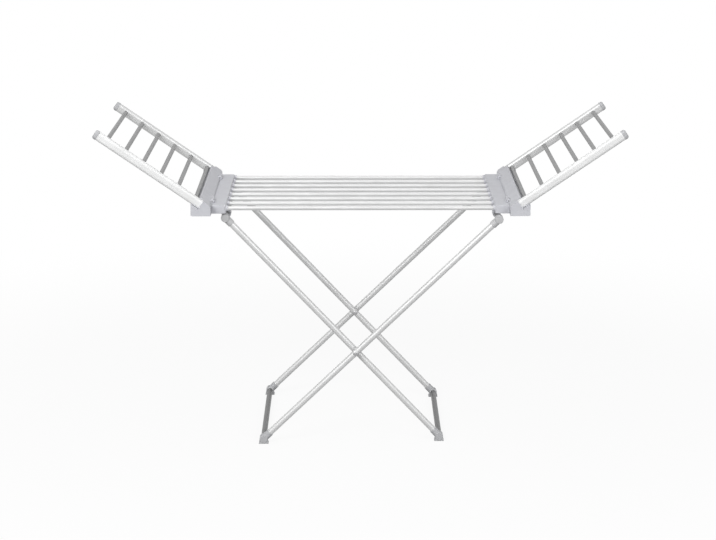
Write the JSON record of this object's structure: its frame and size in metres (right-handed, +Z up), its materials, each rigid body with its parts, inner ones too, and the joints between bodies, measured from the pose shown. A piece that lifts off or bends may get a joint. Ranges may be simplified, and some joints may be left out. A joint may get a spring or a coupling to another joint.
{
  "type": "heated clothes airer",
  "caption": "Free-standing heated clothes airer: flat panel of heated tubes on folding crossed legs, with a raised ladder-like wing hinged at each end.",
  "frame": {"origin": "on the floor, under the middle of the airer", "axes": "+X along the airer to the right wing, +Y from the front to the back, +Z up"},
  "size_m": [1.4896, 0.542, 0.9159],
  "materials": {
    "heated_bar": "satin anodised",
    "rail": "satin anodised",
    "leg_tube": "satin anodised",
    "cross_bar": "satin",
    "grey_plastic": "fine moulded grain",
    "dark_plastic": "fine moulded grain",
    "phenolic": "moulded",
    "steel": "zinc plated",
    "heating_cord": "matt silicone"
  },
  "bodies": {
    "panel": {"cord_inlet": "dark_plastic", "left_end_cover": "grey_plastic", "left_end_housing": "grey_plastic", "panel_bar_01": "heated_bar", "panel_bar_02": "heated_bar", "panel_bar_03": "heated_bar", "panel_bar_04": "heated_bar", "panel_bar_05": "heated_bar", "panel_bar_06": "heated_bar", "panel_bar_07": "heated_bar", "panel_bar_08": "heated_bar", "panel_heating_cords": "heating_cord", "right_end_cover": "grey_plastic", "right_end_housing": "grey_plastic", "switch_frame": "dark_plastic", "terminal_block": "dark_plastic", "thermal_cutout": "phenolic", "wing_hinge_pins": "steel"},
    "left_wing": {"left_wing_bar_1": "heated_bar", "left_wing_bar_2": "heated_bar", "left_wing_bar_3": "heated_bar", "left_wing_bar_4": "heated_bar", "left_wing_bar_5": "heated_bar", "left_wing_bar_6": "heated_bar", "left_wing_front_rail": "rail", "left_wing_heating_cords": "heating_cord", "left_wing_rear_rail": "rail", "left_wing_root_cover": "grey_plastic", "left_wing_root_housing": "grey_plastic", "left_wing_tip_caps": "grey_plastic"},
    "right_wing": {"right_wing_bar_1": "heated_bar", "right_wing_bar_2": "heated_bar", "right_wing_bar_3": "heated_bar", "right_wing_bar_4": "heated_bar", "right_wing_bar_5": "heated_bar", "right_wing_bar_6": "heated_bar", "right_wing_front_rail": "rail", "right_wing_heating_cords": "heating_cord", "right_wing_rear_rail": "rail", "right_wing_root_cover": "grey_plastic", "right_wing_root_housing": "grey_plastic", "right_wing_tip_caps": "grey_plastic"},
    "inner_legs": {"crossing_rivets": "steel", "crossing_spacers": "dark_plastic", "inner_leg_feet": "grey_plastic", "inner_leg_foot_bar": "cross_bar", "inner_leg_front_tube": "leg_tube", "inner_leg_rear_tube": "leg_tube", "inner_leg_top_bar": "cross_bar", "inner_leg_top_connectors": "grey_plastic"},
    "outer_legs": {"outer_leg_feet": "grey_plastic", "outer_leg_foot_bar": "cross_bar", "outer_leg_front_tube": "leg_tube", "outer_leg_rear_tube": "leg_tube", "outer_leg_top_bar": "cross_bar", "outer_leg_top_connectors": "grey_plastic"},
    "rocker": {"switch_rocker": "dark_plastic"}
  },
  "joints": [
    {"name": "leg_fold", "type": "hinge", "parent": "panel", "child": "inner_legs", "pos_m": [-0.382, 0, 0.66], "axis": [0, -1, 0], "range_deg": [0, 45.2]},
    {"name": "leg_scissor", "type": "hinge", "parent": "inner_legs", "child": "outer_legs", "pos_m": [-0.01394, 0, 0.26972], "axis": [0, 1, 0], "range_deg": [0, 87.9]},
    {"name": "left_wing_fold", "type": "hinge", "parent": "panel", "child": "left_wing", "pos_m": [-0.4194, 0, 0.703], "axis": [0, 1, 0], "range_deg": [0, 145]},
    {"name": "right_wing_fold", "type": "hinge", "parent": "panel", "child": "right_wing", "pos_m": [0.4194, 0, 0.703], "axis": [0, -1, 0], "range_deg": [0, 145]},
    {"name": "switch_rock", "type": "hinge", "parent": "panel", "child": "rocker", "pos_m": [0.3924, 0.2355, 0.68875], "axis": [0, 0, -1], "range_deg": [0, 16]}
  ],
  "couplings": [
    {"joint": "leg_scissor", "follows": "leg_fold", "ratio": 1.9447}
  ]
}
